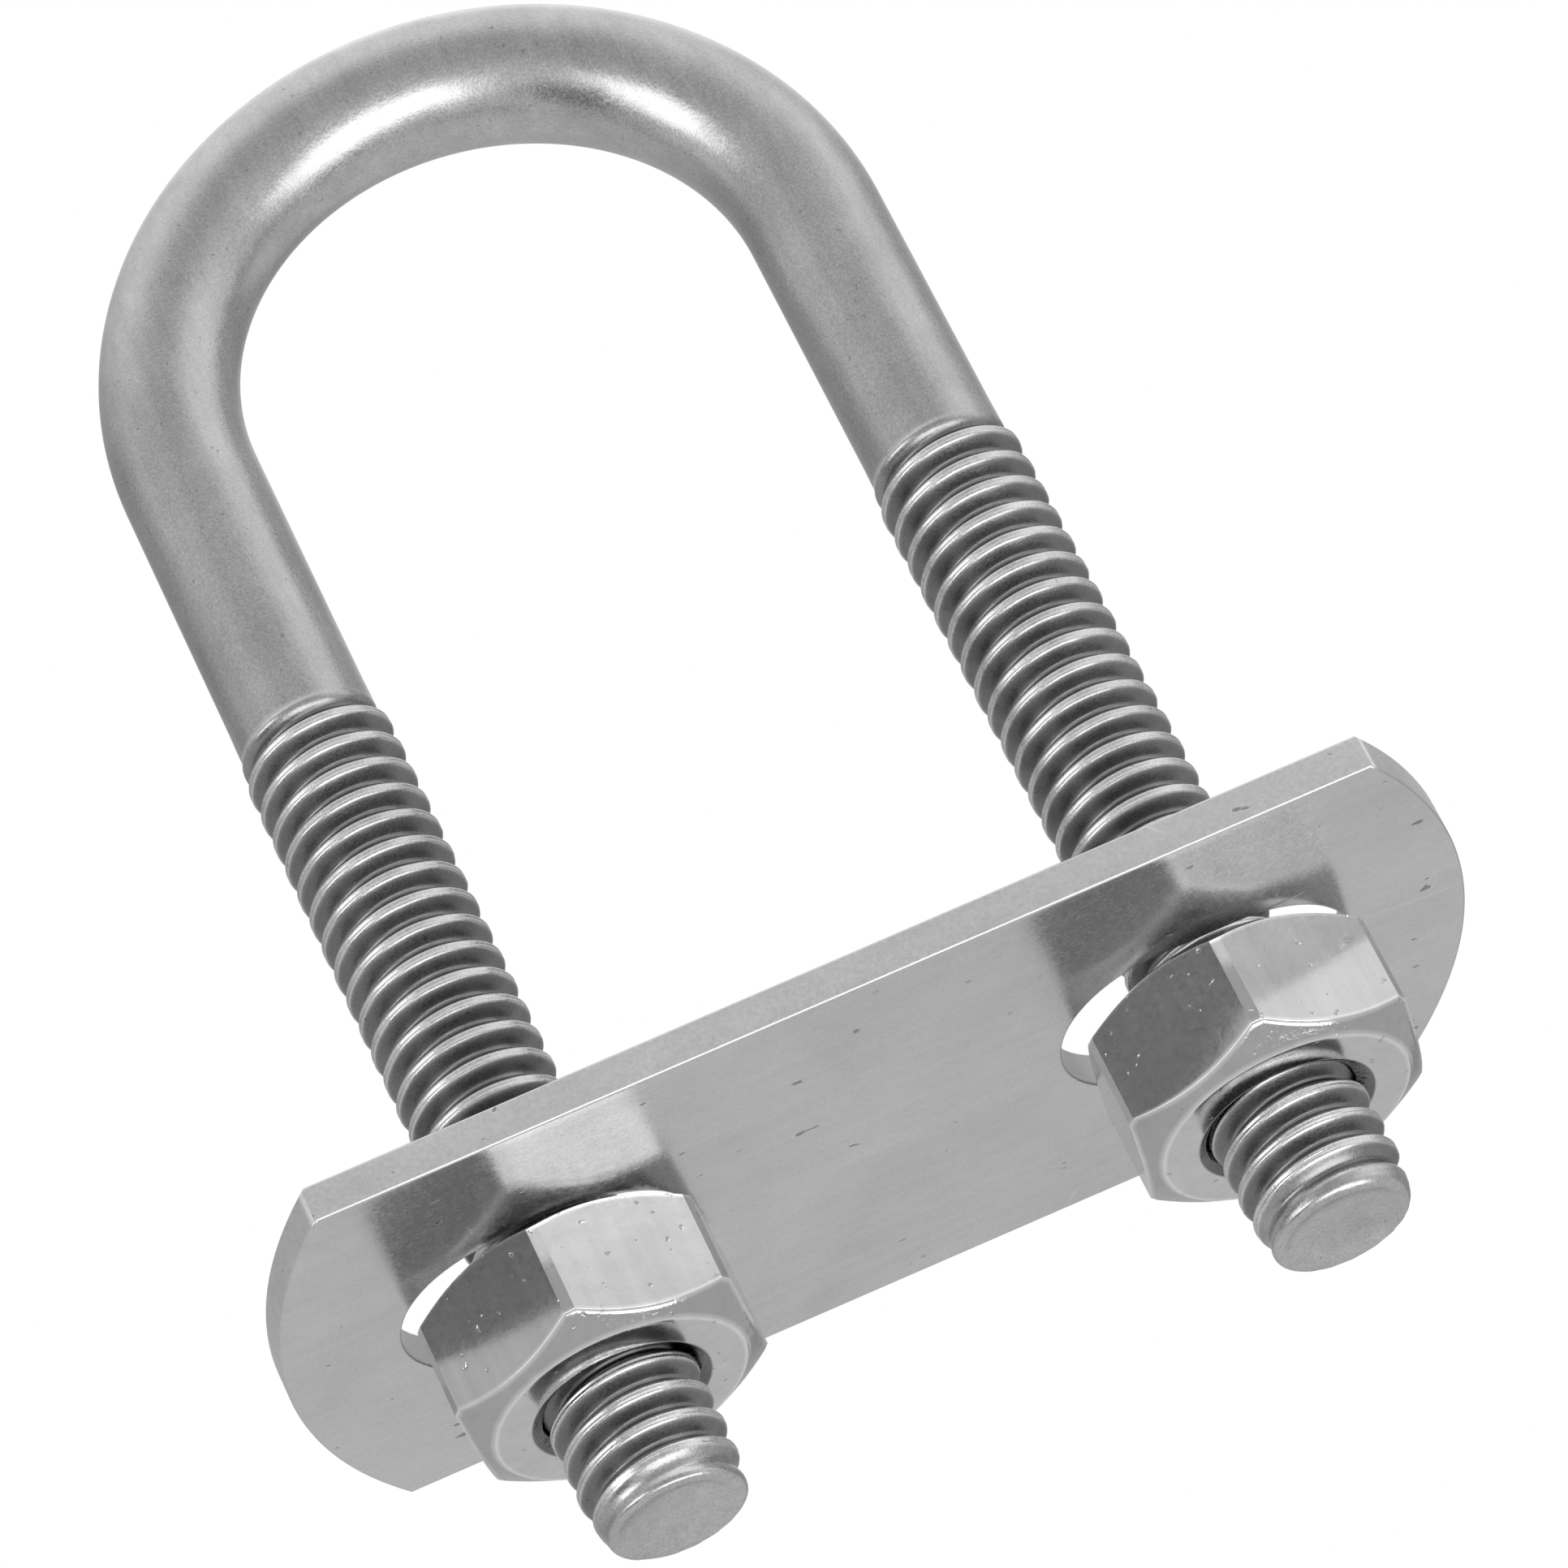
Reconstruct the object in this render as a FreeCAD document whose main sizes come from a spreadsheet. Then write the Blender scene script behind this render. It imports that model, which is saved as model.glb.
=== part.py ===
import FreeCAD, Part
import os
import Sketcher
from FreeCAD import Placement, Rotation, Vector

# U-bolt with a slotted clamp plate and two hex nuts.
# Millimetres, +Z up along the legs towards the bend, +X from the left leg to the
# right one. The origin is on the clamping (upper) face of the plate, midway
# between the legs.

doc = FreeCAD.newDocument("u_bolt_clamp")

# name, value, what it is
SIZES = [
    ("leg_spacing", 26.5, "leg axis to leg axis"),
    ("shank_dia", 5.56, "plain rod of the legs and the bend"),
    ("bend_height", 36.9, "centre of the bend above the clamping face"),
    ("thread_dia", 6.1, "over the rolled thread crests"),
    ("thread_root_dia", 4.64, "thread root"),
    ("pitch", 1.27, "20 threads to the inch, right hand"),
    ("groove_root_width", 0.2, "thread groove, at its root"),
    ("groove_mouth_dia", 6.3, "where the groove cutter is measured, clear of the crests"),
    ("groove_mouth_width", 1.158, "thread groove, at that diameter"),
    ("left_thread_top", 24.3, "where the left thread runs out into the plain leg"),
    ("right_thread_top", 24.7, "the same, right leg"),
    ("runout_length", 0.45, "taper from plain leg to thread crest"),
    ("stud_reach", 12.5, "free ends of the legs below the clamping face"),
    ("lead_dia", 5.2, "plain lead at the free end of each leg"),
    ("lead_length", 0.55, "length of that lead"),
    ("end_chamfer", 0.3, "taper from lead to thread crest"),
    ("dish_radius", 7.3, "hollow left in each end by thread rolling"),
    ("dish_depth", 0.25, "depth of that hollow"),
    ("left_groove_start", 14.17, "left thread groove starts this far below the face"),
    ("right_groove_start", 13.71, "right thread groove starts this far below the face"),
    ("plate_length", 47.5, "over the rounded ends"),
    ("plate_width", 22.2, "between the straight edges"),
    ("plate_thick", 1.5, "plate"),
    ("plate_end_radius", 21.5, "rounded ends"),
    ("plate_shift", 0.5, "the plate rests this far to the left in its slots"),
    ("slot_length", 11.8, "overall, along the plate"),
    ("slot_width", 8.7, "across the plate"),
    ("nut_across_flats", 11.11, "7/16 inch hexagon"),
    ("nut_height", 5.6, "nut"),
    ("left_nut_gap", 0.08, "left nut to plate, finger tight"),
    ("right_nut_gap", 0.38, "right nut to plate, not quite run up"),
    ("nut_washer_dia", 9.9, "flat ring inside each chamfer"),
    ("nut_chamfer_rise", 1.0, "height of the corner chamfer at the points"),
    ("nut_bore_dia", 5.04, "over the crests of the nut's own thread"),
    ("nut_countersink_dia", 7.0, "mouth of the bore"),
    ("nut_countersink_depth", 0.6, "mouth of the bore"),
    ("nut_cutter_inner_dia", 4.9, "nut thread groove, inner side of the cutter"),
    ("nut_cutter_inner_width", 1.222, "nut thread groove, width there"),
    ("nut_cutter_outer_dia", 6.36, "nut thread groove, bottom"),
    ("nut_cutter_outer_width", 0.38, "nut thread groove, width there"),
    ("left_nut_turn", 22.8, "angle of one corner of the left nut from +X"),
    ("right_nut_turn", 27.0, "angle of one corner of the right nut from +X"),
]

sheet = doc.addObject("Spreadsheet::Sheet", "Sizes")
for row, (alias, value, meaning) in enumerate(SIZES, start=1):
    sheet.set("A%d" % row, meaning)
    sheet.set("B%d" % row, str(value))
    sheet.setAlias("B%d" % row, alias)
doc.recompute()


def bind(thing, prop, formula):
    """Tie a property to the sheet; names in braces are cells."""
    thing.setExpression(prop, formula.replace("{", "Sizes.").replace("}", ""))


def new_body(label):
    body = doc.addObject("PartDesign::Body", label)
    body.Label = label
    return body


def origin_plane(body, role):
    return [part for part in body.Origin.OriginFeatures if part.Role == role][0]


def new_sketch(body, label, role, offsets):
    """A sketch on one origin plane; offsets move it by formulas along its axes."""
    sketch = body.newObject("Sketcher::SketchObject", label)
    sketch.AttachmentSupport = [(origin_plane(body, role), "")]
    sketch.MapMode = "FlatFace"
    for axis, formula in offsets.items():
        bind(sketch, "AttachmentOffset.Base." + axis, formula)
    return sketch


def dimension(sketch, name, formula, *constraint):
    """A named driving dimension of a sketch, tied to the sheet."""
    index = sketch.addConstraint(Sketcher.Constraint(*constraint))
    sketch.renameConstraint(index, name)
    bind(sketch, "Constraints." + name, formula)


def primitive(body, kind, label, sizes, position):
    """A primitive feature with sheet-driven sizes and position."""
    feature = body.newObject("PartDesign::" + kind, label)
    for prop, formula in sizes.items():
        bind(feature, prop, formula)
    for axis, formula in position.items():
        bind(feature, "Placement.Base." + axis, formula)
    return feature


def trapezoid(sketch, inner_dia, inner_width, outer_dia, outer_width):
    """Cutter section beside the sketch's vertical axis, symmetric about its X axis."""
    inner, outer = 2.4, 3.2
    corners = [(inner, -0.3), (outer, -0.5), (outer, 0.5), (inner, 0.3)]
    for number, (x, y) in enumerate(corners):
        next_x, next_y = corners[(number + 1) % 4]
        sketch.addGeometry(Part.LineSegment(Vector(x, y, 0), Vector(next_x, next_y, 0)), False)
    for number in range(4):
        sketch.addConstraint(Sketcher.Constraint("Coincident", number, 2, (number + 1) % 4, 1))
    # line 1 is the outer side, line 3 the inner one, both upright
    sketch.addConstraint(Sketcher.Constraint("Symmetric", 1, 1, 1, 2, -1))
    sketch.addConstraint(Sketcher.Constraint("Symmetric", 3, 1, 3, 2, -1))
    dimension(sketch, "inner_radius", inner_dia + " / 2", "DistanceX", -1, 1, 0, 1, inner)
    dimension(sketch, "outer_radius", outer_dia + " / 2", "DistanceX", -1, 1, 1, 1, outer)
    dimension(sketch, "inner_width", inner_width, "DistanceY", 0, 1, 3, 1, 0.6)
    dimension(sketch, "outer_width", outer_width, "DistanceY", 1, 1, 1, 2, 1.0)


def cut_thread(body, label, sketch, height):
    """Right-hand helical groove about the sketch's vertical axis."""
    doc.recompute()
    thread = body.newObject("PartDesign::SubtractiveHelix", label)
    thread.Profile = sketch
    thread.ReferenceAxis = (sketch, ["V_Axis"])
    thread.Mode = 0
    thread.Angle = 0
    thread.LeftHanded = False
    thread.Reversed = False
    bind(thread, "Pitch", "{pitch}")
    bind(thread, "Height", height)
    doc.recompute()
    return thread


SIDES = {"left": "-{leg_spacing} / 2", "right": "{leg_spacing} / 2"}


# ---- U-bolt: one bent rod with a rolled thread on each leg ----

def make_u_bolt():
    body = new_body("u_bolt")

    section = new_sketch(body, "rod_section", "XY_Plane", {"z": "{left_thread_top}"})
    section.addGeometry(Part.Circle(Vector(-13, 0, 0), Vector(0, 0, 1), 2.8), False)
    section.addConstraint(Sketcher.Constraint("PointOnObject", 0, 3, -1))
    dimension(section, "half_spacing", "{leg_spacing} / 2", "DistanceX", 0, 3, -1, 1, 13)
    dimension(section, "rod_radius", "{shank_dia} / 2", "Radius", 0, 2.8)

    line = new_sketch(body, "rod_centre_line", "XZ_Plane", {"y": "{left_thread_top}"})
    line.addGeometry(Part.LineSegment(Vector(-13, 0, 0), Vector(-13, 12, 0)), False)
    bend = Part.Circle(Vector(0, 12, 0), Vector(0, 0, 1), 13)
    line.addGeometry(Part.ArcOfCircle(bend, 0, 3.14159265), False)
    line.addGeometry(Part.LineSegment(Vector(13, 12, 0), Vector(13, 0, 0)), False)
    line.addConstraint(Sketcher.Constraint("Tangent", 0, 2, 1, 2))
    line.addConstraint(Sketcher.Constraint("Tangent", 1, 1, 2, 1))
    line.addConstraint(Sketcher.Constraint("Vertical", 0))
    line.addConstraint(Sketcher.Constraint("Vertical", 2))
    line.addConstraint(Sketcher.Constraint("PointOnObject", 0, 1, -1))
    line.addConstraint(Sketcher.Constraint("PointOnObject", 2, 2, -1))
    line.addConstraint(Sketcher.Constraint("PointOnObject", 1, 3, -2))
    dimension(line, "bend_radius", "{leg_spacing} / 2", "Radius", 1, 13)
    dimension(line, "plain_leg", "{bend_height} - {left_thread_top}", "DistanceY", 0, 1, 0, 2, 12)
    doc.recompute()

    rod = body.newObject("PartDesign::AdditivePipe", "rod")
    rod.Profile = section
    rod.Spine = line
    doc.recompute()

    for side, leg_x in SIDES.items():
        blank_bottom = "-{stud_reach} + {lead_length} + {end_chamfer}"
        crest_top = "{%s_thread_top} - {runout_length}" % side
        primitive(body, "AdditiveCone", side + "_runout",
                  {"Radius1": "{thread_dia} / 2", "Radius2": "{shank_dia} / 2", "Height": "{runout_length}"},
                  {"x": leg_x, "z": crest_top})
        primitive(body, "AdditiveCylinder", side + "_thread_blank",
                  {"Radius": "{thread_dia} / 2",
                   "Height": crest_top + " - (%s)" % blank_bottom},
                  {"x": leg_x, "z": blank_bottom})
        primitive(body, "AdditiveCone", side + "_end_chamfer",
                  {"Radius1": "{lead_dia} / 2", "Radius2": "{thread_dia} / 2", "Height": "{end_chamfer}"},
                  {"x": leg_x, "z": "-{stud_reach} + {lead_length}"})
        primitive(body, "AdditiveCylinder", side + "_lead",
                  {"Radius": "{lead_dia} / 2", "Height": "{lead_length}"},
                  {"x": leg_x, "z": "-{stud_reach}"})
        primitive(body, "SubtractiveSphere", side + "_end_dish",
                  {"Radius": "{dish_radius}"},
                  {"x": leg_x, "z": "-{stud_reach} - {dish_radius} + {dish_depth}"})
        start = "{%s_groove_start}" % side
        groove = new_sketch(body, side + "_groove_section", "XZ_Plane", {"x": leg_x, "y": "-" + start})
        trapezoid(groove, "{thread_root_dia}", "{groove_root_width}",
                  "{groove_mouth_dia}", "{groove_mouth_width}")
        cut_thread(body, side + "_thread", groove, crest_top + " + " + start)


# ---- clamp plate: flat bar with rounded ends and two long slots ----

def make_clamp_plate():
    body = new_body("clamp_plate")
    outline = new_sketch(body, "plate_outline", "XY_Plane", {"z": "-{plate_thick}"})
    outline.addGeometry(Part.LineSegment(Vector(-20.7, -11, 0), Vector(20.7, -11, 0)), False)
    right_end = Part.Circle(Vector(2.2, 0, 0), Vector(0, 0, 1), 21.5)
    outline.addGeometry(Part.ArcOfCircle(right_end, -0.543, 0.543), False)
    outline.addGeometry(Part.LineSegment(Vector(20.7, 11, 0), Vector(-20.7, 11, 0)), False)
    left_end = Part.Circle(Vector(-2.2, 0, 0), Vector(0, 0, 1), 21.5)
    outline.addGeometry(Part.ArcOfCircle(left_end, 3.1416 - 0.543, 3.1416 + 0.543), False)
    outline.addConstraint(Sketcher.Constraint("Coincident", 0, 2, 1, 1))
    outline.addConstraint(Sketcher.Constraint("Coincident", 1, 2, 2, 1))
    outline.addConstraint(Sketcher.Constraint("Coincident", 2, 2, 3, 1))
    outline.addConstraint(Sketcher.Constraint("Coincident", 3, 2, 0, 1))
    outline.addConstraint(Sketcher.Constraint("Horizontal", 0))
    outline.addConstraint(Sketcher.Constraint("Horizontal", 2))
    outline.addConstraint(Sketcher.Constraint("PointOnObject", 1, 3, -1))
    outline.addConstraint(Sketcher.Constraint("PointOnObject", 3, 3, -1))
    centre = "{plate_length} / 2 - {plate_end_radius}"
    dimension(outline, "right_centre", centre, "DistanceX", -1, 1, 1, 3, 2.2)
    dimension(outline, "left_centre", centre, "DistanceX", 3, 3, -1, 1, 2.2)
    dimension(outline, "right_radius", "{plate_end_radius}", "Radius", 1, 21.5)
    dimension(outline, "left_radius", "{plate_end_radius}", "Radius", 3, 21.5)
    dimension(outline, "half_width", "{plate_width} / 2", "DistanceY", 0, 2, -1, 1, 11)
    dimension(outline, "width", "{plate_width}", "DistanceY", 0, 2, 2, 1, 22)
    doc.recompute()
    slab = body.newObject("PartDesign::Pad", "slab")
    slab.Profile = outline
    bind(slab, "Length", "{plate_thick}")
    doc.recompute()

    slot = new_sketch(body, "slot_outline", "XY_Plane", {"x": "{leg_spacing} / 2"})
    slot.addGeometry(Part.LineSegment(Vector(-1.5, -4.3, 0), Vector(1.5, -4.3, 0)), False)
    slot.addGeometry(Part.ArcOfCircle(Part.Circle(Vector(1.5, 0, 0), Vector(0, 0, 1), 4.3),
                                      -1.5708, 1.5708), False)
    slot.addGeometry(Part.LineSegment(Vector(1.5, 4.3, 0), Vector(-1.5, 4.3, 0)), False)
    slot.addGeometry(Part.ArcOfCircle(Part.Circle(Vector(-1.5, 0, 0), Vector(0, 0, 1), 4.3),
                                      1.5708, 4.7124), False)
    slot.addConstraint(Sketcher.Constraint("Tangent", 0, 2, 1, 1))
    slot.addConstraint(Sketcher.Constraint("Tangent", 1, 2, 2, 1))
    slot.addConstraint(Sketcher.Constraint("Tangent", 2, 2, 3, 1))
    slot.addConstraint(Sketcher.Constraint("Tangent", 3, 2, 0, 1))
    slot.addConstraint(Sketcher.Constraint("Horizontal", 0))
    slot.addConstraint(Sketcher.Constraint("Symmetric", 1, 3, 3, 3, -1, 1))
    dimension(slot, "round_end", "{slot_width} / 2", "Radius", 1, 4.3)
    dimension(slot, "straight", "{slot_length} - {slot_width}", "DistanceX", 3, 3, 1, 3, 3)
    doc.recompute()
    right_slot = body.newObject("PartDesign::Pocket", "right_slot")
    right_slot.Profile = slot
    right_slot.Type = "Length"
    right_slot.Midplane = True
    bind(right_slot, "Length", "{plate_thick} * 3")
    doc.recompute()
    both_slots = body.newObject("PartDesign::Mirrored", "left_slot")
    both_slots.Originals = [right_slot]
    both_slots.MirrorPlane = (origin_plane(body, "YZ_Plane"), [""])
    body.Tip = both_slots
    bind(body, "Placement.Base.x", "-{plate_shift}")
    doc.recompute()


# ---- hex nuts, chamfered at both ends, each in mesh with its leg's thread ----

def make_nut(side):
    body = new_body(side + "_nut")
    top = "-{plate_thick} - {%s_nut_gap}" % side
    bottom = top + " - {nut_height}"
    hexagon = primitive(body, "AdditivePrism", side + "_hexagon",
                        {"Circumradius": "{nut_across_flats} / sqrt(3)", "Height": "{nut_height}",
                         "Placement.Rotation.Angle": "{%s_nut_turn}" % side},
                        {"z": bottom})
    hexagon.Polygon = 6
    hexagon.Placement = Placement(Vector(0, 0, 0), Rotation(Vector(0, 0, 1), 1))

    # the corner chamfers: a triangle turned about the axis at each end
    chamfers = new_sketch(body, side + "_chamfer_section", "XZ_Plane",
                          {"y": bottom + " + {nut_height} / 2"})
    for end, base in ((-1, 0), (1, 3)):
        points = [Vector(4.95, 2.8 * end, 0), Vector(7, 2.8 * end, 0), Vector(7, 1.4 * end, 0)]
        for number in range(3):
            chamfers.addGeometry(Part.LineSegment(points[number], points[(number + 1) % 3]), False)
        for number in range(3):
            chamfers.addConstraint(Sketcher.Constraint("Coincident", base + number, 2,
                                                       base + (number + 1) % 3, 1))
        chamfers.addConstraint(Sketcher.Constraint("Horizontal", base))
        chamfers.addConstraint(Sketcher.Constraint("Vertical", base + 1))
    for number, name in ((1, "top"), (2, "bottom")):
        inner, outer = (3, 4) if name == "top" else (0, 1)
        low, high = ((-1, 1), (inner, 1)) if name == "top" else ((inner, 1), (-1, 1))
        dimension(chamfers, name + "_face", "{nut_height} / 2", "DistanceY", *low, *high, 2.8)
        dimension(chamfers, name + "_ring", "{nut_washer_dia} / 2", "DistanceX", -1, 1, inner, 1, 4.95)
        dimension(chamfers, name + "_reach", "{nut_across_flats} / sqrt(3) + 0.6",
                  "DistanceX", -1, 1, inner, 2, 7)
        ends = (outer, 2, outer, 1) if name == "top" else (outer, 1, outer, 2)
        rise = ("{nut_chamfer_rise} * ({nut_across_flats} / sqrt(3) + 0.6 - {nut_washer_dia} / 2)"
                " / ({nut_across_flats} / sqrt(3) - {nut_washer_dia} / 2)")
        dimension(chamfers, name + "_rise", rise, "DistanceY", *ends, 1.4)
    doc.recompute()
    turned = body.newObject("PartDesign::Groove", side + "_corner_chamfers")
    turned.Profile = chamfers
    turned.ReferenceAxis = (chamfers, ["V_Axis"])
    turned.Angle = 360
    doc.recompute()

    primitive(body, "SubtractiveCylinder", side + "_bore",
              {"Radius": "{nut_bore_dia} / 2", "Height": "{nut_height} + 2"}, {"z": bottom + " - 1"})
    cone = {"Radius1": "{nut_countersink_dia} / 2", "Radius2": "{nut_bore_dia} / 2"}
    flipped = {"Radius1": cone["Radius2"], "Radius2": cone["Radius1"]}
    for sizes, name, base in ((cone, "_lower_countersink", bottom),
                              (flipped, "_upper_countersink",
                               top + " - {nut_countersink_depth}")):
        primitive(body, "SubtractiveCone", side + name,
                  {**sizes, "Height": "{nut_countersink_depth}"}, {"z": base})

    # the nut's groove stands half a pitch off the leg's groove, so it holds the leg's crest
    start = "-{%s_groove_start} + {pitch} * 3.5" % side
    groove = new_sketch(body, side + "_nut_groove_section", "XZ_Plane", {"y": start})
    trapezoid(groove, "{nut_cutter_inner_dia}", "{nut_cutter_inner_width}",
              "{nut_cutter_outer_dia}", "{nut_cutter_outer_width}")
    cut_thread(body, side + "_nut_thread", groove, "{nut_height} + 3 * {pitch}")
    bind(body, "Placement.Base.x", SIDES[side])
    doc.recompute()


make_u_bolt()
make_clamp_plate()
for nut_side in SIDES:
    make_nut(nut_side)
doc.recompute()

# ---- check everything, then write one STEP file per piece ----

failed = [item.Name for item in doc.Objects if "Invalid" in item.State or "Error" in item.State]
if failed:
    raise RuntimeError("failed objects: " + ", ".join(failed))

pieces = [item for item in doc.Objects if item.TypeId == "PartDesign::Body"]
for piece in pieces:
    shape = piece.Shape
    if shape.isNull() or not shape.isValid() or len(shape.Solids) != 1:
        raise RuntimeError(piece.Label + " is not one valid solid")
    box = shape.BoundBox
    print("%-12s volume %8.1f  x %.2f..%.2f  y %.2f..%.2f  z %.2f..%.2f" % (
        piece.Label, shape.Volume, box.XMin, box.XMax, box.YMin, box.YMax, box.ZMin, box.ZMax))

os.makedirs("parts", exist_ok=True)
for piece in pieces:
    piece.Shape.exportStep("parts/" + piece.Label + ".step")
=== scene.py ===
"""Looks for the U-bolt with its slotted clamp plate and two hex nuts."""

import math

import bmesh
import bpy
import numpy as np
from mathutils import Matrix, Vector


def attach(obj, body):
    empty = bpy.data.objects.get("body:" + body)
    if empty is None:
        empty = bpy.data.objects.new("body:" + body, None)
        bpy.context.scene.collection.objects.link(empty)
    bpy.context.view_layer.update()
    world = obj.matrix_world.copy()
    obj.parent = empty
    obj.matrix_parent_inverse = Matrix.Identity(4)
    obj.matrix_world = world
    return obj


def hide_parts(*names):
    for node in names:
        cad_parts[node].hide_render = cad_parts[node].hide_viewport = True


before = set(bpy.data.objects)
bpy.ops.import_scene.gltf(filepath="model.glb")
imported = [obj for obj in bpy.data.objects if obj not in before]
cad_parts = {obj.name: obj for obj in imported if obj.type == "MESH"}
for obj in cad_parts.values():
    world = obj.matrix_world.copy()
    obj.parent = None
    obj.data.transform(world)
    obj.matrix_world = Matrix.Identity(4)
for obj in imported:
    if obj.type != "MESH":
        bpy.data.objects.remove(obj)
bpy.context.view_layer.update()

MM = 0.001

# ---- driving sizes, in millimetres, as the design has them ----

PITCH = 1.27
CREST_RADIUS = 3.05
ROOT_RADIUS = 2.40
SHANK_RADIUS = 2.78
LEG_X = 13.25
BEND_HEIGHT = 36.9
STUD_END = -12.5
PLATE_THICK = 1.5
PLATE_LENGTH = 47.48
PLATE_WIDTH = 22.2
PLATE_END_RADIUS = 21.5
PLATE_SHIFT = 0.5
SLOT_LENGTH = 11.8
SLOT_WIDTH = 8.7
NUT_HEIGHT = 5.6
NUT_FLATS = 11.11
NUT_WASHER_RADIUS = 4.95
NUT_CHAMFER_SLOPE = 0.683
NUT_BORE_RADIUS = 2.52
NUT_GROOVE_RADIUS = 3.18
COUNTERSINK_RADIUS = 3.5
COUNTERSINK_SLOPE = 1.63
STUD_TIP_RADIUS = 2.78
STUD_LIP = 0.30
STUD_LIP_DEPTH = 0.20
PLATE_ROUNDING = 0.12
NUT_ROUNDING = 0.13
NUT_EDGE_STRIP = 0.2

# per leg: height of a thread crest at its +X side, top of the thread, the nut's corner angle
# in degrees and the height of its upper face
LEGS = {
    "left": {"x": -LEG_X, "crest": 0.435, "top": 24.3, "corner": 22.8, "nut_top": -1.58},
    "right": {"x": LEG_X, "crest": 0.895, "top": 24.7, "corner": 27.0, "nut_top": -1.88},
}

# height where the thread surface hands over to the bent rod, above both thread tops
BEND_START = 25.0
STATION_STEP = 0.8

# points around a leg, and the rows across one thread pitch, measured from the crest's middle
AROUND = 96
CREST_ROWS = (0.0, 0.035, 0.07, 0.11, 0.16, 0.22, 0.29, 0.36, 0.43, 0.50, 0.57)

# values that the materials read, for wear and painted light: the plain rod, the nut's bore (painted
# shade), faces, chamfers (darker) and edges (painted highlight)
WEAR_PLAIN = 0.5
BORE_PAINTED_SHADE = 0.0
WEAR_FACE = 0.8
CHAMFER_TONE = 0.55
EDGE_PAINTED_HIGHLIGHT = 1.0


# ---- small helpers ----

def smooth(value, low, high):
    """0 below low, 1 above high, smooth between."""
    t = np.clip((np.asarray(value, float) - low) / (high - low), 0.0, 1.0)
    return t * t * (3 - 2 * t)


def soft_ramp(t, rounding):
    """A 0 to 1 ramp with rounded ends: the clamp of t averaged over a short window."""
    def area(v):
        v = np.asarray(v, float)
        return np.where(v < 0, 0.0, np.where(v < 1, v * v / 2, v - 0.5))
    return (area(t + rounding) - area(t - rounding)) / (2 * rounding)


def wander(a, b, seed):
    """Smooth unevenness between about -1 and 1, the same on every run."""
    random = np.random.default_rng(seed)
    total = 0.0
    for _ in range(7):
        rate_a, rate_b = random.uniform(-1, 1), random.uniform(-1, 1)
        shift = random.uniform(0, 6.28)
        total = total + np.sin(a * rate_a + b * rate_b + shift)
    return total / 4


def make_object(name, verts, faces, values=None):
    """A mesh in metres from points in millimetres, with an optional value per point for wear and
    painted light.
    """
    mesh = bpy.data.meshes.new(name)
    mesh.from_pydata((np.asarray(verts, float) * MM).tolist(), [], faces)
    mesh.validate()
    for face in mesh.polygons:
        face.use_smooth = True
    if values is not None:
        layer = mesh.attributes.new("wear_and_painted_light", "FLOAT", "POINT")
        layer.data.foreach_set("value", np.asarray(values, np.float32))
    obj = bpy.data.objects.new(name, mesh)
    bpy.context.scene.collection.objects.link(obj)
    return obj


def keep_flats(obj):
    """Shades the large faces flat, with only their rounded edges smooth."""
    weighted = obj.modifiers.new("flats", "WEIGHTED_NORMAL")
    weighted.keep_sharp = True
    weighted.weight = 90


class Shell:
    """Collects points, faces and a value per point for wear and painted light."""

    def __init__(self):
        self.verts, self.faces, self.wear_and_painted_light = [], [], []

    def ring(self, points, wear_and_painted_light=WEAR_PLAIN):
        start = len(self.verts)
        self.verts.extend([tuple(p) for p in points])
        self.wear_and_painted_light.extend([wear_and_painted_light] * len(points) if np.isscalar(wear_and_painted_light) else list(wear_and_painted_light))
        return list(range(start, start + len(points)))

    def bridge(self, lower, upper):
        count = len(lower)
        for i in range(count):
            j = (i + 1) % count
            self.faces.append((lower[i], lower[j], upper[j], upper[i]))


# ---- helical thread surface ----

def thread_surface(shell, x, crest, low, high, radius, inward=False):
    """Rows that follow the thread, cut off flat at both ends. Returns the two end rings."""
    half = PITCH / 2
    rows = sorted(set([-c for c in CREST_ROWS] + list(CREST_ROWS)))
    first = math.floor((low - PITCH - crest - half) / PITCH)
    last = math.ceil((high - crest + half) / PITCH)
    heights = [crest + n * PITCH + c for n in range(first, last + 1) for c in rows]
    per_turn = len(rows)
    angles = np.arange(AROUND) * 2 * math.pi / AROUND
    lift = PITCH * angles / (2 * math.pi)

    def points_at(z, angle):
        across = (z - PITCH * angle / (2 * math.pi) - crest + half) % PITCH - half
        r, wear_and_painted_light = radius(z, angle, across)
        return np.c_[x + r * np.cos(angle), r * np.sin(angle), z], wear_and_painted_light

    low_ring = shell.ring(*points_at(np.full(AROUND, low), angles))
    high_ring = shell.ring(*points_at(np.full(AROUND, high), angles))
    tight = PITCH / 200
    index = []
    for h in heights:
        z = h + lift
        points, wear_and_painted_light = points_at(z, angles)
        row = []
        for j in range(AROUND):
            if z[j] <= low + tight:
                row.append(low_ring[j])
            elif z[j] >= high - tight:
                row.append(high_ring[j])
            else:
                shell.verts.append(tuple(points[j]))
                shell.wear_and_painted_light.append(wear_and_painted_light[j])
                row.append(len(shell.verts) - 1)
        index.append(row)
    for i in range(len(heights) - 1):
        for j in range(AROUND):
            if j < AROUND - 1:
                quad = (index[i][j], index[i][j + 1], index[i + 1][j + 1], index[i + 1][j])
            elif i >= per_turn:
                # the last column meets the first one a pitch higher up
                below = i - per_turn
                quad = (index[below][j], index[i][0], index[i + 1][0], index[below + 1][j])
            else:
                continue
            corners = list(dict.fromkeys(quad))
            if len(corners) > 2:
                shell.faces.append(tuple(reversed(corners)) if inward else tuple(corners))
    return low_ring, high_ring


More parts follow.
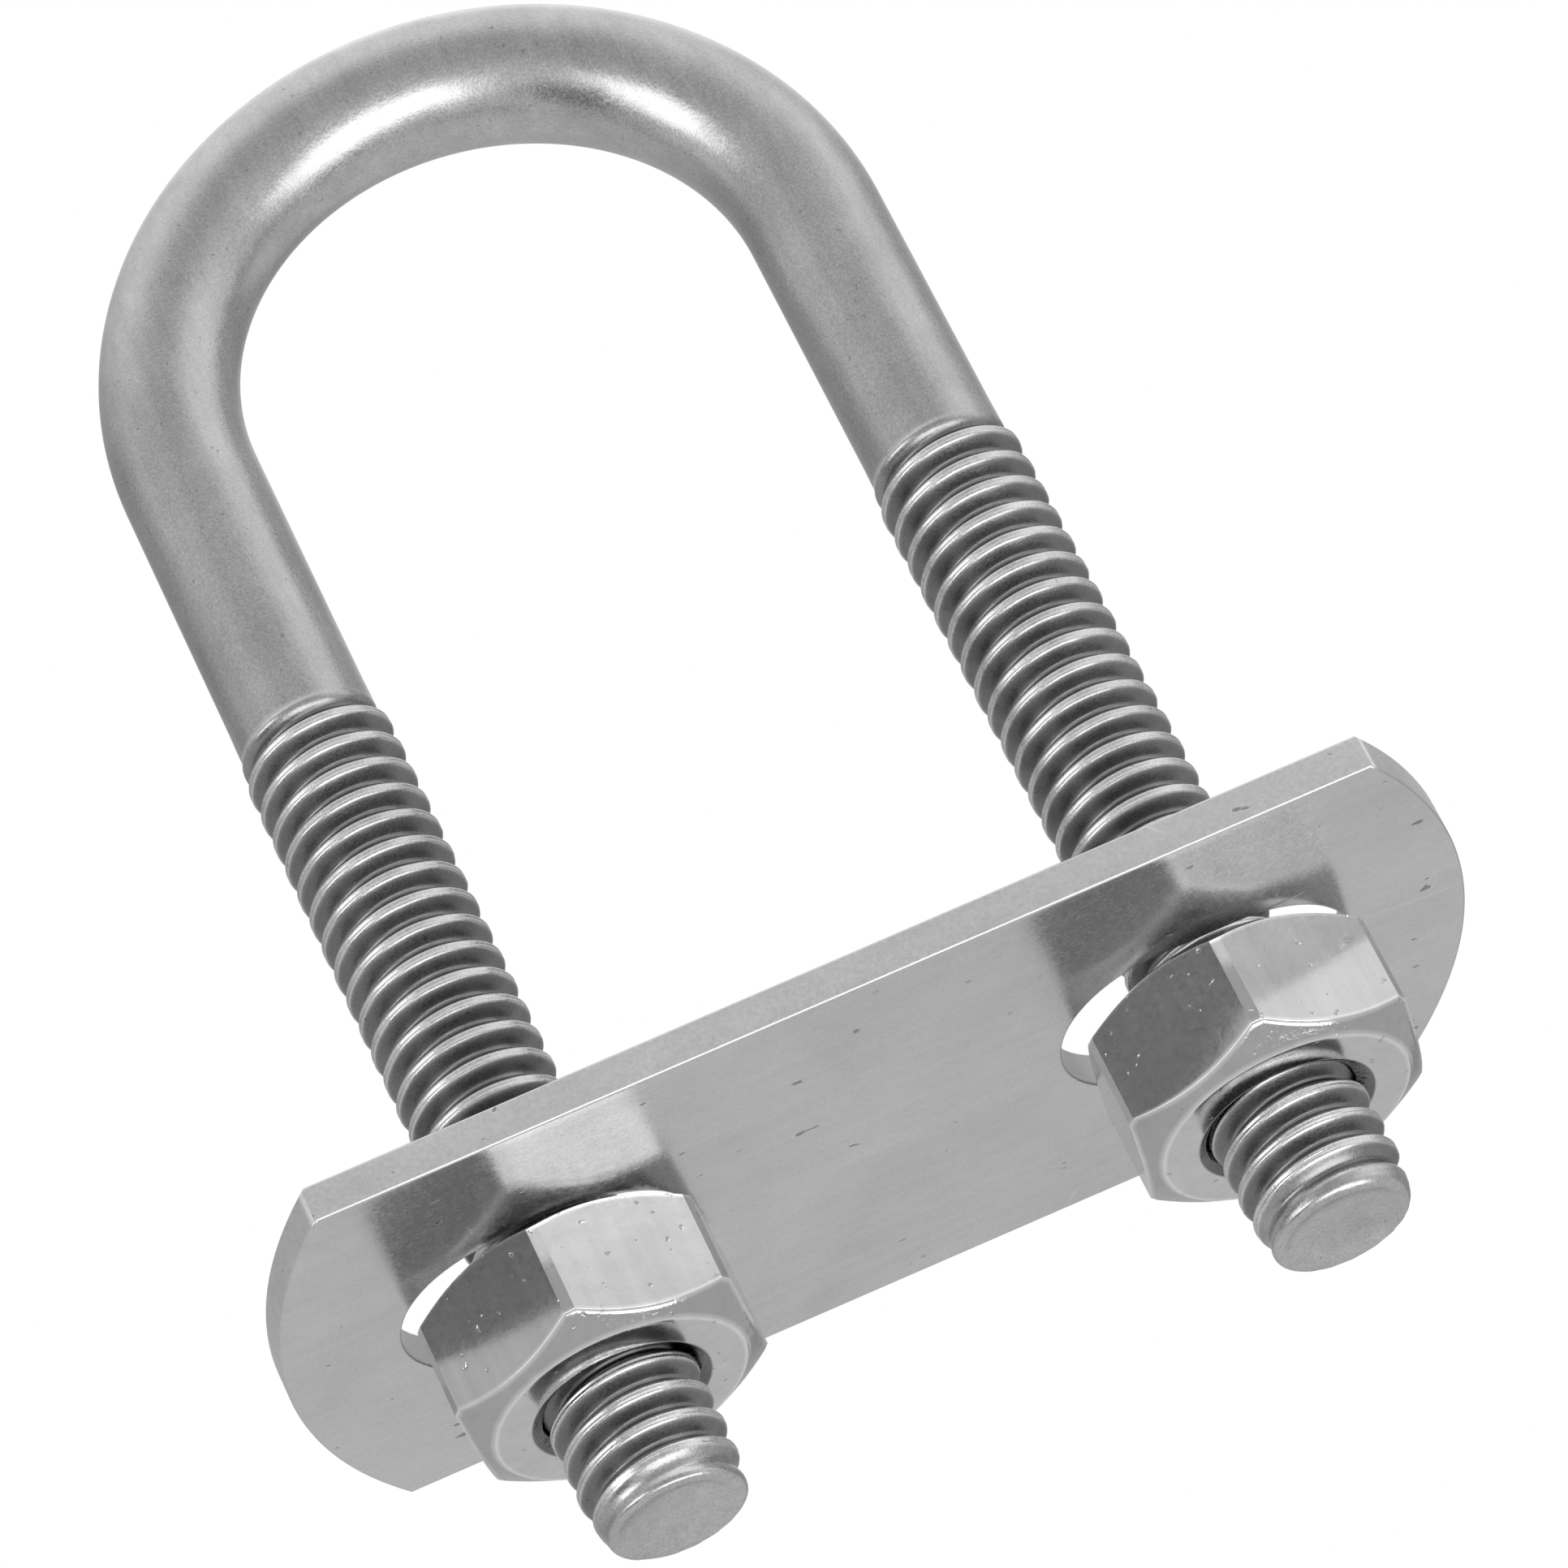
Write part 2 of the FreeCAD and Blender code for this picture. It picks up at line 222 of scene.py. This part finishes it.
def leg_radius(z, angle, across, top):
    """Radius of a leg: rolled thread, fading into the plain rod and into the stud's end."""
    from_root = PITCH / 2 - np.abs(across)
    rise = soft_ramp((from_root - 0.05) / 0.42, 0.16)
    seam = np.exp(-(across / 0.045) ** 2) * (0.030 + 0.014 * wander(angle * 9, z * 3, 5))
    rough = 0.010 * wander(angle * 14, z * 5, 9) * rise
    thread = ROOT_RADIUS + (CREST_RADIUS - 0.01 - ROOT_RADIUS) * rise - seam * rise + rough
    top_fade = 1 - smooth(z, top - 1.1, top + 0.1)
    end_fade = smooth(z, STUD_END + 0.35, STUD_END + 1.9)
    tip_radius = STUD_TIP_RADIUS + 0.012 * wander(angle * 3, z * 4, 21)
    r = SHANK_RADIUS + (thread - SHANK_RADIUS) * top_fade
    r = tip_radius + (r - tip_radius) * (0.18 + 0.82 * end_fade)
    lip = np.clip((z - STUD_END) / STUD_LIP, 0, 1)
    r = r - STUD_LIP_DEPTH * (1 - np.sqrt(1 - (1 - lip) ** 2))
    threaded = top_fade * end_fade
    # 0 in the root, 0.25 on the darkened flanks, 1 on the crest, whose bright band is partly worn
    # metal and partly painted highlight, 0.5 on the plain rod
    crest_wear_and_highlight = np.exp(-(across / 0.17) ** 4) * (1 - 0.35 * np.exp(-(across / 0.04) ** 2))
    wear_and_painted_light = (0.25 * smooth(from_root, 0.02, 0.22) + 0.75 * crest_wear_and_highlight) * threaded
    return r, wear_and_painted_light + WEAR_PLAIN * (1 - threaded)


def nut_radius(z, angle, across, top):
    """Inner wall of a nut: its own thread, opened by the countersinks."""
    reach = NUT_GROOVE_RADIUS - NUT_BORE_RADIUS
    r = NUT_BORE_RADIUS + reach * soft_ramp((PITCH / 2 - np.abs(across) - 0.04) / 0.37, 0.15)
    for face in (top, top - NUT_HEIGHT):
        r = np.maximum(r, COUNTERSINK_RADIUS - COUNTERSINK_SLOPE * np.abs(z - face))
    # the whole bore gets the value that nut_steel turns into painted shade
    return r, np.full(len(z), BORE_PAINTED_SHADE)


# ---- the U-bolt ----

def stud_end(shell, ring, x, seed):
    """Closes a leg's lower end with the shallow hollow that rolling leaves."""
    angles = np.arange(AROUND) * 2 * math.pi / AROUND
    # radius and depth of the hollow, from the rim to the middle
    dish = [
        (2.45, 0.005),
        (2.30, 0.05),
        (2.15, 0.13),
        (1.90, 0.23),
        (1.50, 0.31),
        (1.00, 0.36),
        (0.50, 0.38),
    ]
    middle_depth = 0.39
    before = ring
    for radius, depth in dish:
        bumps = 0.035 * wander(radius * np.cos(angles) * 2, radius * np.sin(angles) * 2, seed)
        z = STUD_END + depth + bumps * smooth(2.4 - radius, 0, 0.4)
        now = shell.ring(np.c_[x + radius * np.cos(angles), radius * np.sin(angles), z])
        shell.bridge(now, before)
        before = now
    tip = shell.ring([(x, 0, STUD_END + middle_depth)])[0]
    for i in range(AROUND):
        shell.faces.append((before[(i + 1) % AROUND], before[i], tip))


def build_u_bolt():
    """Both threaded legs and the bent rod between them, as one closed skin."""
    shell = Shell()
    rings = {}
    for seed, (side, leg) in enumerate(LEGS.items(), start=31):
        def radius(z, angle, across, thread_top=leg["top"]):
            return leg_radius(z, angle, across, thread_top)

        low, high = thread_surface(shell, leg["x"], leg["crest"], STUD_END, BEND_START, radius)
        stud_end(shell, low, leg["x"], seed)
        rings[side] = high
    angles = np.arange(AROUND) * 2 * math.pi / AROUND
    heights = np.arange(BEND_START + STATION_STEP, BEND_HEIGHT - 0.2, STATION_STEP)
    straight = [(0.0, z) for z in heights]
    turns = [(t, BEND_HEIGHT) for t in np.linspace(0, math.pi, 97)]
    stations = straight + turns + [(math.pi, z) for _, z in reversed(straight)]
    before = rings["left"]
    for number, (turn, z) in enumerate(stations):
        inward = np.array([math.cos(turn), 0, -math.sin(turn)])
        centre = np.array([-LEG_X * math.cos(turn), 0, z + LEG_X * math.sin(turn)])
        r = SHANK_RADIUS - 0.012 + 0.006 * wander(angles * 2, np.full(AROUND, number * 0.21), 3)
        points = centre + np.outer(r * np.cos(angles), inward)
        points = points + np.outer(r * np.sin(angles), (0, 1, 0))
        now = shell.ring(points)
        shell.bridge(before, now)
        before = now
    # the right leg's own ring runs the other way round
    mirrored = [rings["right"][(AROUND // 2 - j) % AROUND] for j in range(AROUND)]
    shell.bridge(before, mirrored)
    return make_object("rolled_u_bolt", shell.verts, shell.faces, shell.wear_and_painted_light)


# ---- the nuts ----

def hexagon_radius(angle, corner):
    """Distance from the axis to the flats, in the direction of an angle."""
    turn = (angle - math.radians(corner)) % (math.pi / 3) - math.pi / 6
    return NUT_FLATS / 2 / np.cos(turn)


def build_nut(side):
    """A chamfered hex nut with its own thread, closed all round."""
    leg = LEGS[side]
    shell = Shell()
    top = leg["nut_top"]
    bottom = top - NUT_HEIGHT

    def radius(z, angle, across):
        return nut_radius(z, angle, across, top)

    low, high = thread_surface(shell, leg["x"], leg["crest"], bottom, top, radius, inward=True)
    # each corner lies midway between two outline points, which leaves a narrow facet there
    step = 2 * math.pi / AROUND
    shift = math.radians(leg["corner"]) % step - step / 2
    outline = np.arange(AROUND) * step + shift
    flat = hexagon_radius(outline, leg["corner"])
    rise = np.maximum(flat - NUT_WASHER_RADIUS, 0) * NUT_CHAMFER_SLOPE

    # from the bore outwards to the flats: radius, distance from the end face, value for wear and
    # painted light (painted highlight on the edge rings)
    strip, strip_rise = NUT_EDGE_STRIP, NUT_EDGE_STRIP * NUT_CHAMFER_SLOPE
    profile = [
        (COUNTERSINK_RADIUS + 0.08, 0.0, WEAR_FACE),
        (NUT_WASHER_RADIUS - strip, 0.0, WEAR_FACE),
        (NUT_WASHER_RADIUS, 0.0, EDGE_PAINTED_HIGHLIGHT),
        (NUT_WASHER_RADIUS + strip, strip_rise, CHAMFER_TONE),
        (flat - strip, rise - strip_rise, CHAMFER_TONE),
        (flat, rise, EDGE_PAINTED_HIGHLIGHT),
        (flat, rise + strip, WEAR_FACE),
    ]

    def outline_rings(face, inwards):
        rings = []
        for around, depth, wear_and_painted_light in profile:
            z = face + inwards * depth + np.zeros(AROUND)
            points = np.c_[leg["x"] + around * np.cos(outline), around * np.sin(outline), z]
            rings.append(shell.ring(points, wear_and_painted_light))
        return rings

    loops = [low] + outline_rings(bottom, 1) + outline_rings(top, -1)[::-1] + [high]
    for before, after in zip(loops, loops[1:]):
        shell.bridge(before, after)
    nut = make_object(side + "_hex_nut", shell.verts, shell.faces, shell.wear_and_painted_light)
    bevel = nut.modifiers.new("edges", "BEVEL")
    bevel.width = NUT_ROUNDING * MM
    bevel.segments = 4
    bevel.limit_method = "ANGLE"
    bevel.angle_limit = math.radians(18)
    bevel.harden_normals = False
    keep_flats(nut)
    return nut


# ---- the plate ----

def two_ended(x, half_straight, radius, sweep, count):
    """A closed outline with an arc at each end, centred on x along the plate."""
    outline = []
    for reach, middle in ((half_straight, 0.0), (-half_straight, math.pi)):
        for angle in np.linspace(middle - sweep, middle + sweep, count):
            outline.append((x + reach + radius * math.cos(angle), radius * math.sin(angle)))
    return outline


def build_plate():
    """Flat bar with curved ends and a slot round each leg."""
    end_sweep = math.asin(PLATE_WIDTH / 2 / PLATE_END_RADIUS)
    end_reach = PLATE_LENGTH / 2 - PLATE_END_RADIUS
    slot_reach = (SLOT_LENGTH - SLOT_WIDTH) / 2
    loops = [two_ended(0, end_reach, PLATE_END_RADIUS, end_sweep, 41)]
    for leg in LEGS.values():
        loops.append(two_ended(leg["x"], slot_reach, SLOT_WIDTH / 2, math.pi / 2, 33))
    curve = bpy.data.curves.new("plate_outline", "CURVE")
    curve.dimensions = "2D"
    curve.fill_mode = "BOTH"
    curve.extrude = (PLATE_THICK / 2 - PLATE_ROUNDING) * MM
    curve.bevel_depth = PLATE_ROUNDING * MM
    curve.bevel_resolution = 2
    curve.offset = -PLATE_ROUNDING * MM
    for loop in loops:
        spline = curve.splines.new("POLY")
        spline.points.add(len(loop) - 1)
        for point, (x, y) in zip(spline.points, loop):
            point.co = ((x - PLATE_SHIFT) * MM, y * MM, 0, 1)
        spline.use_cyclic_u = True
    holder = bpy.data.objects.new("plate_outline", curve)
    bpy.context.scene.collection.objects.link(holder)
    bpy.context.view_layer.update()
    mesh = bpy.data.meshes.new_from_object(holder)
    bpy.data.objects.remove(holder)
    mesh.transform(Matrix.Translation((0, 0, -PLATE_THICK / 2 * MM)))
    mesh.name = "slotted_clamp_plate"
    plate = bpy.data.objects.new("slotted_clamp_plate", mesh)
    bpy.context.scene.collection.objects.link(plate)
    shell = bmesh.new()
    shell.from_mesh(mesh)
    bmesh.ops.remove_doubles(shell, verts=shell.verts, dist=2e-6)
    bmesh.ops.recalc_face_normals(shell, faces=shell.faces)
    shell.to_mesh(mesh)
    shell.free()
    for face in mesh.polygons:
        face.use_smooth = True
    keep_flats(plate)
    return plate


# ---- materials ----

class Nodes:
    """Short names for the node calls that the materials share."""

    def __init__(self, tree):
        self.tree = tree

    def add(self, kind, **values):
        node = self.tree.nodes.new(kind)
        for key, value in values.items():
            setattr(node, key, value)
        return node

    def link(self, source, target):
        self.tree.links.new(source, target)

    def coordinates(self, stretch):
        place = self.add("ShaderNodeTexCoord")
        mapping = self.add("ShaderNodeMapping")
        mapping.inputs["Scale"].default_value = stretch
        self.link(place.outputs["Object"], mapping.inputs["Vector"])
        return mapping.outputs["Vector"]

    def noise(self, scale, detail=4.0, rough=0.55, stretch=(1, 1, 1), distortion=0.0):
        node = self.add("ShaderNodeTexNoise")
        node.inputs["Scale"].default_value = scale
        node.inputs["Detail"].default_value = detail
        node.inputs["Roughness"].default_value = rough
        node.inputs["Distortion"].default_value = distortion
        self.link(self.coordinates(stretch), node.inputs["Vector"])
        return node.outputs["Fac"]

    def span(self, source, low, high, to_low=0.0, to_high=1.0):
        """Maps low..high to to_low..to_high, clamped at both ends."""
        node = self.add("ShaderNodeMapRange")
        node.inputs["From Min"].default_value = low
        node.inputs["From Max"].default_value = high
        node.inputs["To Min"].default_value = to_low
        node.inputs["To Max"].default_value = to_high
        self.link(source, node.inputs["Value"])
        return node.outputs["Result"]

    def math(self, operation, a, b):
        node = self.add("ShaderNodeMath", operation=operation)
        for socket, value in zip(node.inputs, (a, b)):
            if isinstance(value, (int, float)):
                socket.default_value = value
            else:
                self.link(value, socket)
        return node.outputs["Value"]

    def grey(self, source, low, high):
        """A grey ramp between two shades."""
        ramp = self.add("ShaderNodeValToRGB")
        ramp.color_ramp.elements[0].color = (low, low, low, 1)
        ramp.color_ramp.elements[1].color = (high, high, high * 1.004, 1)
        self.link(source, ramp.inputs["Fac"])
        return ramp.outputs["Color"]

    def bump(self, source, strength, distance, before=None):
        node = self.add("ShaderNodeBump")
        node.inputs["Strength"].default_value = strength
        node.inputs["Distance"].default_value = distance
        self.link(source, node.inputs["Height"])
        if before is not None:
            self.link(before, node.inputs["Normal"])
        return node.outputs["Normal"]


def new_metal(name):
    material = bpy.data.materials.new(name)
    material.use_nodes = True
    shader = material.node_tree.nodes["Principled BSDF"]
    shader.inputs["Metallic"].default_value = 1.0
    return material, shader, Nodes(material.node_tree)


def rod_steel():
    """Tumbled bright rod: fine grain, darkened thread flanks, a thread root lifted lighter as
    painted light against its shade, and bright crests that are partly worn metal and partly painted
    highlight.
    """
    material, shader, n = new_metal("rod_steel")
    wear_and_painted_light = n.add("ShaderNodeAttribute", attribute_name="wear_and_painted_light").outputs["Fac"]
    grain = n.noise(9000, 3, 0.65)
    speck = n.noise(3800, 2, 0.5)
    cloud = n.noise(300, 4, 0.6)
    streak = n.noise(1500, 3, 0.6, stretch=(1.0, 1.0, 0.08))
    # thread tone: 0.36 in the root, lifted as painted light against its shade, 0.24 on the flanks,
    # up to 0.84 on the crests, partly worn metal and partly painted highlight
    tone = n.math("ADD", n.span(wear_and_painted_light, 0.0, 0.25, 0.36, 0.24), n.span(wear_and_painted_light, 0.25, 1.0, 0.0, 1.14))
    tone = n.math("MINIMUM", tone, 0.84)
    uneven = n.span(grain, 0.3, 0.7, 0.86, 1.14)
    uneven = n.math("MULTIPLY", uneven, n.span(cloud, 0.3, 0.7, 0.90, 1.10))
    uneven = n.math("MULTIPLY", uneven, n.span(streak, 0.3, 0.7, 0.93, 1.07))
    uneven = n.math("MULTIPLY", uneven, n.span(speck, 0.24, 0.30, 0.62, 1.0))
    n.link(n.math("MULTIPLY", tone, uneven), shader.inputs["Base Color"])
    gloss = n.math("ADD", n.span(grain, 0.3, 0.7, 0.20, 0.34), n.span(wear_and_painted_light, 0.0, 0.5, 0.08, 0.0))
    n.link(gloss, shader.inputs["Roughness"])
    first = n.bump(grain, 0.30, 0.00003)
    n.link(n.bump(n.noise(1500, 2, 0.5), 0.22, 0.00005, first), shader.inputs["Normal"])
    return material


def plate_steel():
    """Rolled sheet: fine scratches along it, a few pits, soft reflections."""
    material, shader, n = new_metal("plate_steel")
    cloud = n.noise(150, 5, 0.6)
    streak = n.noise(1500, 4, 0.65, stretch=(0.08, 1.4, 1.0))
    grain = n.noise(7000, 3, 0.65)
    pits = n.span(n.noise(1500, 2, 0.4, stretch=(0.6, 1.3, 1.0)), 0.235, 0.265)
    wavy = n.noise(90, 1, 0.3, stretch=(0.5, 2.2, 1.0), distortion=0.4)
    path = n.math("ABSOLUTE", n.math("SUBTRACT", wavy, 0.5), 0)
    scratch = n.span(path, 0.0005, 0.0020, 1.0, 0.0)
    scratch = n.math("MULTIPLY", scratch, n.span(n.noise(260, 2), 0.55, 0.62))
    total = n.math("ADD", n.math("MULTIPLY", cloud, 0.45), n.math("MULTIPLY", streak, 0.2))
    total = n.math("ADD", total, n.math("MULTIPLY", grain, 0.35))
    tone = n.math("MULTIPLY", n.span(total, 0.35, 0.65, 0.64, 0.80), n.span(pits, 0, 1, 0.5, 1.0))
    tone = n.math("ADD", tone, n.math("MULTIPLY", scratch, 0.14))
    # sheared edges are rougher and lighter than the rolled faces
    normal = n.add("ShaderNodeSeparateXYZ")
    n.link(n.add("ShaderNodeTexCoord").outputs["Normal"], normal.inputs["Vector"])
    edge = n.span(n.math("ABSOLUTE", normal.outputs["Z"], 0), 0.3, 0.6, 1.0, 0.0)
    n.link(n.math("MULTIPLY", tone, n.span(edge, 0, 1, 1.0, 1.22)), shader.inputs["Base Color"])
    gloss = n.math("ADD", n.span(grain, 0.3, 0.7, 0.18, 0.30), n.math("MULTIPLY", edge, 0.16))
    n.link(gloss, shader.inputs["Roughness"])
    first = n.bump(streak, 0.06, 0.00003)
    second = n.bump(grain, 0.16, 0.00002, first)
    n.link(n.bump(pits, 0.5, 0.00004, second), shader.inputs["Normal"])
    return material


def nut_steel():
    """Bright machined nut: small dents, faint tool marks up the flats, a bore darkened by painted
    shade, darker chamfers and painted highlights along the edges.
    """
    material, shader, n = new_metal("nut_steel")
    wear_and_painted_light = n.add("ShaderNodeAttribute", attribute_name="wear_and_painted_light").outputs["Fac"]
    cloud = n.noise(420, 4, 0.6)
    grain = n.noise(7000, 3, 0.6)
    marks = n.noise(1900, 3, 0.6, stretch=(1.0, 1.0, 0.07))
    dents = n.span(n.noise(2300, 2, 0.4), 0.25, 0.30)
    total = n.math("ADD", n.math("MULTIPLY", cloud, 0.5), n.math("MULTIPLY", marks, 0.5))
    tone = n.math("MULTIPLY", n.span(total, 0.35, 0.65, 0.69, 0.79), n.span(dents, 0, 1, 0.75, 1.0))
    # painted shade darkens the bore, the chamfers are darker, painted highlights brighten the edges
    tone = n.math("MULTIPLY", tone, n.span(wear_and_painted_light, 0.1, 0.8, 0.25, 1.0))
    tone = n.math("ADD", tone, n.span(wear_and_painted_light, 0.84, 1.0, 0.0, 0.24))
    n.link(tone, shader.inputs["Base Color"])
    n.link(n.span(grain, 0.35, 0.65, 0.09, 0.17), shader.inputs["Roughness"])
    first = n.bump(grain, 0.08, 0.00002)
    second = n.bump(dents, 0.45, 0.00004, first)
    third = n.bump(marks, 0.02, 0.00003, second)
    crumbs = n.math("MULTIPLY", n.noise(3200, 3, 0.6), n.span(wear_and_painted_light, 0.56, 0.78, 1.0, 0.0))
    fourth = n.bump(crumbs, 0.55, 0.00006, third)
    n.link(n.bump(n.noise(300, 1, 0.5), 0.10, 0.0001, fourth), shader.inputs["Normal"])
    return material


# ---- floor, light and camera ----

FLOOR_HEIGHT = -1.0
FLOOR_SIZE = 12.0
WALL_BRIGHTNESS = 0.50
# azimuth, elevation, where a patch is full and where it ends (degrees), how much it adds
WALL_PATCHES = [
    (0, 90, 25, 55, 0.35),
    (-22, 18, 14, 38, 0.34),
    (-95, 20, 12, 36, -0.08),
    (40, 2, 20, 48, -0.16),
    (140, 42, 12, 40, -0.20),
    (72, 48, 8, 26, 0.40),
]
# middle of the object, which the soft boxes and the card face, in metres
LIGHT_AIM = Vector((0, 0, 0.018))
# angles in degrees, distance and target in metres, lens in millimetres
CAMERA_AZIMUTH = 7.04
CAMERA_ELEVATION = -30.33
CAMERA_ROLL = -26.74
CAMERA_DISTANCE = 0.34467
CAMERA_TARGET = Vector((0.00249, 0.00238, 0.01545))
CAMERA_LENS = 208.0


def direction(azimuth, elevation):
    """Unit vector from compass angles in degrees: azimuth from +X towards +Y."""
    across, up = math.radians(azimuth), math.radians(elevation)
    return Vector((math.cos(across) * math.cos(up), math.sin(across) * math.cos(up), math.sin(up)))


def face_object(thing, azimuth, elevation, distance):
    """Places a light or a card away from the object and turns it to face the object."""
    away = direction(azimuth, elevation)
    thing.location = LIGHT_AIM + away * distance
    thing.rotation_euler = away.to_track_quat("Z", "Y").to_euler()


def studio_board(name, width, depth, grain, dark, light, roughness):
    """A flat board in two close greys, for the floor and the card."""
    material = bpy.data.materials.new(name)
    material.use_nodes = True
    n = Nodes(material.node_tree)
    shader = material.node_tree.nodes["Principled BSDF"]
    n.link(n.grey(n.noise(grain, 2), dark, light), shader.inputs["Base Color"])
    shader.inputs["Roughness"].default_value = roughness
    x, y = width / 2, depth / 2
    mesh = bpy.data.meshes.new(name)
    mesh.from_pydata([(-x, -y, 0), (x, -y, 0), (x, y, 0), (-x, y, 0)], [], [(0, 1, 2, 3)])
    mesh.materials.append(material)
    board = bpy.data.objects.new(name, mesh)
    bpy.context.scene.collection.objects.link(board)
    return board


def pale_floor():
    floor = studio_board("studio_floor", FLOOR_SIZE, FLOOR_SIZE, 3, 0.80, 0.86, 0.8)
    floor.location.z = FLOOR_HEIGHT


def studio_world():
    """A pale studio with lighter and darker walls, white where the camera looks straight at it."""
    world = bpy.data.worlds.new("studio")
    bpy.context.scene.world = world
    world.use_nodes = True
    n = Nodes(world.node_tree)
    wall = world.node_tree.nodes["Background"]
    out = world.node_tree.nodes["World Output"]
    place = n.add("ShaderNodeTexCoord").outputs["Generated"]
    brightness = WALL_BRIGHTNESS
    for azimuth, elevation, full, end, amount in WALL_PATCHES:
        facing = n.add("ShaderNodeVectorMath", operation="DOT_PRODUCT")
        n.link(place, facing.inputs[0])
        facing.inputs[1].default_value = direction(azimuth, elevation)
        extra = n.span(facing.outputs["Value"], math.cos(math.radians(end)),
                       math.cos(math.radians(full)), 0.0, amount)
        brightness = n.math("ADD", brightness, extra)
    n.link(brightness, wall.inputs["Strength"])
    wall.inputs["Color"].default_value = (1, 1, 1, 1)
    plain = n.add("ShaderNodeBackground")
    plain.inputs["Color"].default_value = (1, 1, 1, 1)
    mix = n.add("ShaderNodeMixShader")
    n.link(n.add("ShaderNodeLightPath").outputs["Is Camera Ray"], mix.inputs["Fac"])
    n.link(wall.outputs["Background"], mix.inputs[1])
    n.link(plain.outputs["Background"], mix.inputs[2])
    n.link(mix.outputs["Shader"], out.inputs["Surface"])


def soft_box(name, azimuth, elevation, distance, width, height, brightness):
    """A soft box that faces the object; brightness 1 looks as light as white paper."""
    data = bpy.data.lights.new(name, "AREA")
    data.shape = "RECTANGLE"
    data.size = width
    data.size_y = height
    data.energy = brightness * math.pi * width * height
    light = bpy.data.objects.new(name, data)
    face_object(light, azimuth, elevation, distance)
    light.visible_camera = False
    bpy.context.scene.collection.objects.link(light)


def dim_card(azimuth, elevation, distance, width, height):
    """A grey card that darkens one side of what the metal reflects; the camera doesn't see it."""
    card = studio_board("dim_card", width, height, 30, 0.20, 0.24, 0.9)
    face_object(card, azimuth, elevation, distance)
    card.visible_camera = False
    card.visible_shadow = False
    card.visible_diffuse = False


def photo_camera():
    """Looks up at the plate's underside from the left front, rolled clockwise."""
    across, up = math.radians(CAMERA_AZIMUTH), math.radians(CAMERA_ELEVATION)
    look = Vector((math.sin(across) * math.cos(up), math.cos(across) * math.cos(up), -math.sin(up)))
    level_right = look.cross(Vector((0, 0, 1))).normalized()
    level_up = level_right.cross(look)
    turn = math.radians(CAMERA_ROLL)
    right = level_right * math.cos(turn) + level_up * math.sin(turn)
    top = right.cross(look)
    data = bpy.data.cameras.new("photo_camera")
    data.lens = CAMERA_LENS
    data.sensor_width = 36.0
    data.clip_start = 0.01
    data.clip_end = 50.0
    camera = bpy.data.objects.new("photo_camera", data)
    facing = Matrix((right, top, -look)).transposed().to_4x4()
    camera.matrix_world = Matrix.Translation(CAMERA_TARGET - look * CAMERA_DISTANCE) @ facing
    bpy.context.scene.collection.objects.link(camera)
    bpy.context.scene.camera = camera


# ---- put it together ----

def finish_piece(piece, material, node, body):
    piece.data.materials.clear()
    piece.data.materials.append(material)
    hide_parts(node)
    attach(piece, body)


photo_camera()
studio_world()
pale_floor()
soft_box("low_front_box", -66, -52, 0.8, 0.94, 0.50, 1.65)
soft_box("left_box", -142, 0, 1.0, 0.60, 0.45, 1.8)
dim_card(-154, -31, 0.6, 0.36, 0.26)

finish_piece(build_u_bolt(), rod_steel(), "u_bolt", "bolt")
finish_piece(build_plate(), plate_steel(), "clamp_plate", "plate")
nut_material = nut_steel()
for nut_side in LEGS:
    finish_piece(build_nut(nut_side), nut_material, nut_side + "_nut", nut_side + "_nut_body")

bpy.context.scene.view_settings.view_transform = "Standard"
